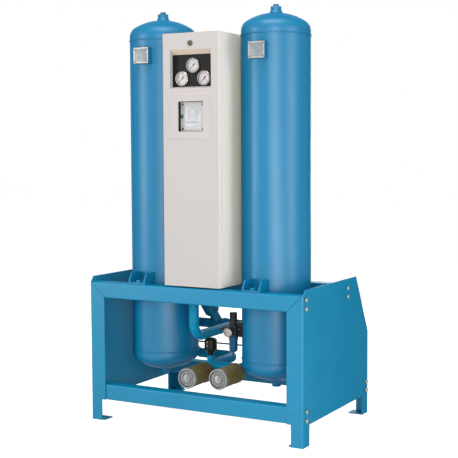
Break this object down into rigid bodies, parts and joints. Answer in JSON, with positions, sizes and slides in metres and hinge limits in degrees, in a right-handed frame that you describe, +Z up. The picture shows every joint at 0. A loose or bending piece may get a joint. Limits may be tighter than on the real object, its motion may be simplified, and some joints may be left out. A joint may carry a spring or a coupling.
{
  "type": "twin-tower desiccant air dryer",
  "caption": "Free-standing compressed-air dryer: pressure vessels hung in a folded sheet frame, a control cabinet between them, switching valves, pipes and mufflers below.",
  "frame": {"origin": "on the floor, under the middle of the frame", "axes": "+Z up, -Y towards the cabinet's front, +X to the right as seen from the front"},
  "size_m": [1.1694, 0.73, 1.9764],
  "materials": {
    "blue_paint": "semi-gloss sky-blue machine paint",
    "cabinet_paint": "off-white textured powder coat",
    "panel_black": "satin black paint",
    "bright_steel": "zinc-plated steel",
    "plate_metal": "satin sheet aluminium",
    "rivet_metal": "copper-toned rivet heads",
    "desiccant": "white activated-alumina beads",
    "screen_steel": "perforated stainless sheet",
    "lock_metal": "nickel-plated die cast",
    "gauge_metal": "polished gauge case",
    "dial_white": "matt white dial",
    "pointer_black": "matt black needle",
    "lens": "clear gauge glass",
    "controller_grey": "light grey moulded housing",
    "black_plastic": "black moulded plastic",
    "bowl_plastic": "dark blue bowl",
    "muffler_mesh": "olive-brown sintered shell",
    "cap_metal": "cast end cap",
    "tube_black": "black polyurethane tube"
  },
  "bodies": {
    "frame": {"left_side_panel": "blue_paint", "right_side_panel": "blue_paint", "front_top_rail": "blue_paint", "front_lower_rail": "blue_paint", "back_top_rail": "blue_paint", "back_lower_rail": "blue_paint", "frame_bolts": "bright_steel", "left_vessel": "blue_paint", "right_vessel": "blue_paint", "left_desiccant": "desiccant", "right_desiccant": "desiccant", "bed_screens": "screen_steel", "fill_plugs": "blue_paint", "drain_plugs": "blue_paint", "nameplates": "plate_metal", "nameplate_rivets": "rivet_metal", "lug_bolts": "bright_steel", "cabinet_bearers": "blue_paint", "cabinet_body": "cabinet_paint", "cabinet_cover": "cabinet_paint", "lock_housing": "lock_metal", "gauge_panel": "panel_black", "gauge_cases": "gauge_metal", "gauge_dials": "dial_white", "gauge_lenses": "lens", "controller_frame": "cabinet_paint", "controller_box": "controller_grey", "controller_lid": "controller_grey", "controller_screws": "bright_steel", "pilot_valves": "black_plastic", "inlet_pipe": "blue_paint", "inlet_tee": "blue_paint", "left_inlet_valve": "blue_paint", "right_inlet_valve": "blue_paint", "left_inlet_actuator": "blue_paint", "right_inlet_actuator": "blue_paint", "left_tower_pipe": "blue_paint", "right_tower_pipe": "blue_paint", "left_exhaust_pipe": "blue_paint", "right_exhaust_pipe": "blue_paint", "exhaust_valve": "blue_paint", "exhaust_actuator": "black_plastic", "mufflers": "muffler_mesh", "muffler_caps": "cap_metal", "outlet_pipes": "blue_paint", "check_valves": "blue_paint", "purge_line": "blue_paint", "pipe_unions": "blue_paint", "regulator_body": "black_plastic", "filter_bowl": "bowl_plastic", "regulator_bracket": "blue_paint", "regulator_gauge": "gauge_metal", "regulator_lens": "lens", "control_tube": "tube_black"},
    "lock": {"lock_barrel": "lock_metal"},
    "outlet_needle": {"outlet_pointer": "pointer_black"},
    "left_needle": {"left_pointer": "pointer_black"},
    "right_needle": {"right_pointer": "pointer_black"},
    "knob": {"regulator_knob": "black_plastic"},
    "regulator_needle": {"regulator_pointer": "pointer_black"}
  },
  "joints": [
    {"name": "lock_turn", "type": "hinge", "parent": "frame", "child": "lock", "pos_m": [0, -0.357, 1.792], "axis": [0, 1, 0], "range_deg": [0, 90]},
    {"name": "outlet_needle_turn", "type": "hinge", "parent": "frame", "child": "outlet_needle", "pos_m": [0, -0.331, 1.694], "axis": [0, 1, 0], "range_deg": [0, 270]},
    {"name": "left_needle_turn", "type": "hinge", "parent": "frame", "child": "left_needle", "pos_m": [-0.059, -0.331, 1.635], "axis": [0, 1, 0], "range_deg": [0, 270]},
    {"name": "right_needle_turn", "type": "hinge", "parent": "frame", "child": "right_needle", "pos_m": [0.059, -0.331, 1.635], "axis": [0, 1, 0], "range_deg": [0, 270]},
    {"name": "regulator_needle_turn", "type": "hinge", "parent": "frame", "child": "regulator_needle", "pos_m": [0.138, -0.253, 0.467], "axis": [0, 1, 0], "range_deg": [0, 270]},
    {"name": "knob_turn", "type": "hinge", "parent": "frame", "child": "knob", "pos_m": [0.138, -0.215, 0.53], "axis": [0, 0, 1], "range_deg": [0, 1800]}
  ]
}
